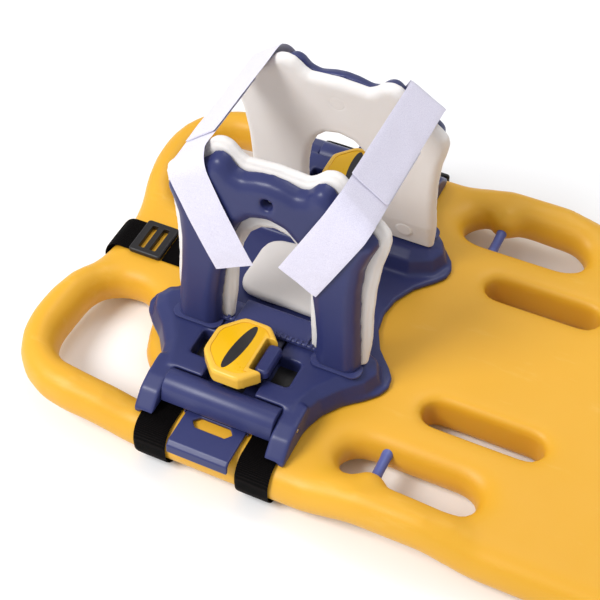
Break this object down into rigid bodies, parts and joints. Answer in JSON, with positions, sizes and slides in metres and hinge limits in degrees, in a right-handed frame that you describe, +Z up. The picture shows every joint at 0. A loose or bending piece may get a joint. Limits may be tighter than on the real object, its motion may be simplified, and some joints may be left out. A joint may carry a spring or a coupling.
{
  "type": "spine board with head immobiliser",
  "caption": "Long rescue board with arched hand-hold rails, cross-strapped base plate and two leaning foam-lined head blocks joined by forehead and chin straps.",
  "frame": {"origin": "centre of the board, at the level of the two runners it rests on", "axes": "+X from the head end to the foot end, +Y to the patient's left, +Z up"},
  "size_m": [1.829, 0.419, 0.2644],
  "materials": {
    "board_yellow": "moulded polyethylene, satin with a fine texture",
    "core_foam": "rigid cellular foam",
    "rod_composite": "pultruded composite",
    "black_plastic": "moulded nylon, dull",
    "blue_plastic": "moulded, satin",
    "carriage_plastic": "moulded, dull",
    "knob_yellow": "moulded, slightly glossy",
    "white_foam": "skinned soft foam, dull",
    "white_strap": "brushed loop fabric",
    "black_webbing": "ribbed woven webbing",
    "steel": "bright"
  },
  "bodies": {
    "board": {"board_shell": "board_yellow", "foam_core": "core_foam", "right_stiffening_rod": "rod_composite", "left_stiffening_rod": "rod_composite", "fill_plug": "black_plastic", "right_clip_pin_1": "blue_plastic", "left_clip_pin_1": "blue_plastic", "right_clip_pin_2": "blue_plastic", "left_clip_pin_2": "blue_plastic", "right_clip_pin_3": "blue_plastic", "left_clip_pin_3": "blue_plastic", "right_clip_pin_4": "blue_plastic", "left_clip_pin_4": "blue_plastic", "right_clip_pin_5": "blue_plastic", "left_clip_pin_5": "blue_plastic", "base_plate": "blue_plastic", "head_pad": "white_foam", "right_rack": "black_plastic", "left_rack": "black_plastic", "right_lever_pin": "steel", "left_lever_pin": "steel", "right_latch_pin": "steel", "left_latch_pin": "steel", "cross_strap_head_side": "black_webbing", "cross_strap_foot_side": "black_webbing", "head_end_strap": "black_webbing", "head_end_anchor_strap": "black_webbing", "head_end_buckle": "black_plastic", "side_strap_slider": "black_plastic"},
    "right_block": {"right_block_shell": "blue_plastic", "right_foam_liner": "white_foam", "right_foam_stud_top": "white_foam", "right_foam_stud_head_side": "white_foam", "right_foam_stud_foot_side": "white_foam", "right_carriage": "carriage_plastic", "right_return_spring": "steel", "right_chin_strap": "white_strap", "right_forehead_strap": "white_strap"},
    "right_knob": {"right_knob_cap": "knob_yellow", "right_lock_plunger": "steel"},
    "right_release": {"right_release_tab": "blue_plastic"},
    "right_lever": {"right_strap_lever": "blue_plastic"},
    "right_latch": {"right_latch_tab": "blue_plastic"},
    "left_block": {"left_block_shell": "blue_plastic", "left_foam_liner": "white_foam", "left_foam_stud_top": "white_foam", "left_foam_stud_head_side": "white_foam", "left_foam_stud_foot_side": "white_foam", "left_carriage": "carriage_plastic", "left_return_spring": "steel", "left_chin_strap": "white_strap", "left_forehead_strap": "white_strap"},
    "left_knob": {"left_knob_cap": "knob_yellow", "left_lock_plunger": "steel"},
    "left_release": {"left_release_tab": "blue_plastic"},
    "left_lever": {"left_strap_lever": "blue_plastic"},
    "left_latch": {"left_latch_tab": "blue_plastic"}
  },
  "joints": [
    {"name": "right_block_slide", "type": "slide", "parent": "board", "child": "right_block", "axis": [0, 1, 0], "range_m": [-0.015, 0.01]},
    {"name": "right_knob_press", "type": "slide", "parent": "right_block", "child": "right_knob", "axis": [0, 0, 1], "range_m": [-0.003, 0], "deforming": ["right_return_spring"]},
    {"name": "right_release_press", "type": "slide", "parent": "right_block", "child": "right_release", "axis": [-1, 0, 0], "range_m": [0, 0.003]},
    {"name": "right_lever_turn", "type": "hinge", "parent": "board", "child": "right_lever", "pos_m": [-0.7015, -0.1585, 0.064], "axis": [-1, 0, 0], "range_deg": [0, 70]},
    {"name": "right_latch_lift", "type": "hinge", "parent": "board", "child": "right_latch", "pos_m": [-0.7015, -0.1685, 0.051], "axis": [-1, 0, 0], "range_deg": [0, 30]},
    {"name": "left_block_slide", "type": "slide", "parent": "board", "child": "left_block", "axis": [0, -1, 0], "range_m": [-0.015, 0.01]},
    {"name": "left_knob_press", "type": "slide", "parent": "left_block", "child": "left_knob", "axis": [0, 0, 1], "range_m": [-0.003, 0], "deforming": ["left_return_spring"]},
    {"name": "left_release_press", "type": "slide", "parent": "left_block", "child": "left_release", "axis": [-1, 0, 0], "range_m": [0, 0.003]},
    {"name": "left_lever_turn", "type": "hinge", "parent": "board", "child": "left_lever", "pos_m": [-0.7015, 0.1585, 0.064], "axis": [1, 0, 0], "range_deg": [0, 70]},
    {"name": "left_latch_lift", "type": "hinge", "parent": "board", "child": "left_latch", "pos_m": [-0.7015, 0.1685, 0.051], "axis": [1, 0, 0], "range_deg": [0, 30]}
  ]
}
